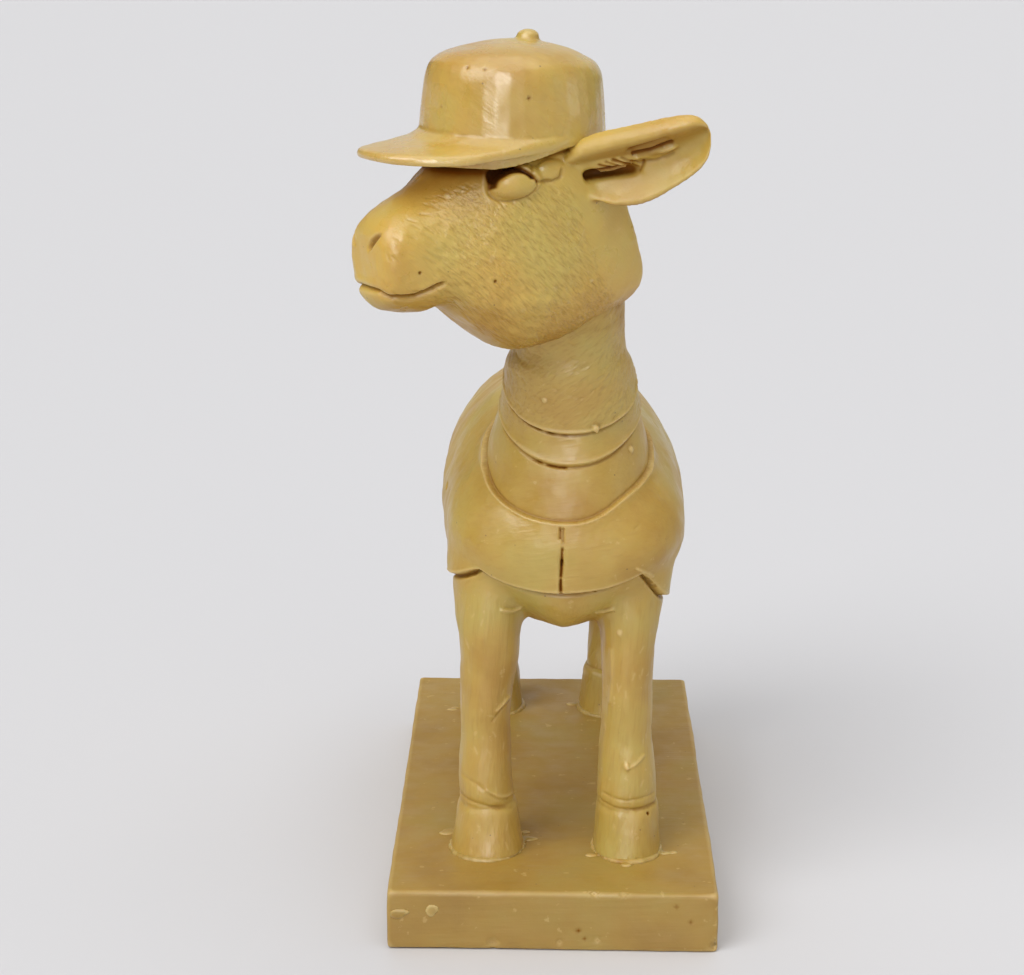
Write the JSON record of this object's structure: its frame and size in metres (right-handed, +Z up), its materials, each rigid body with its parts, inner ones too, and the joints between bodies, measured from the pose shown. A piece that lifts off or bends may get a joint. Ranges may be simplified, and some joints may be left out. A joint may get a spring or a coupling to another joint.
{
  "type": "goat figurine",
  "caption": "Wax-cast goat figurine in a peaked cap and jacket, head turned to its right, standing on a rectangular plinth.",
  "frame": {"origin": "middle of the plinth's underside", "axes": "+Z up, the goat's chest faces -Y, its head is turned towards -X"},
  "size_m": [0.0714, 0.1308, 0.1799],
  "materials": {
    "figure_wax": "satin",
    "plinth_wax": "satin"
  },
  "bodies": {
    "root": {"goat": "figure_wax", "plinth": "plinth_wax"}
  },
  "joints": []
}
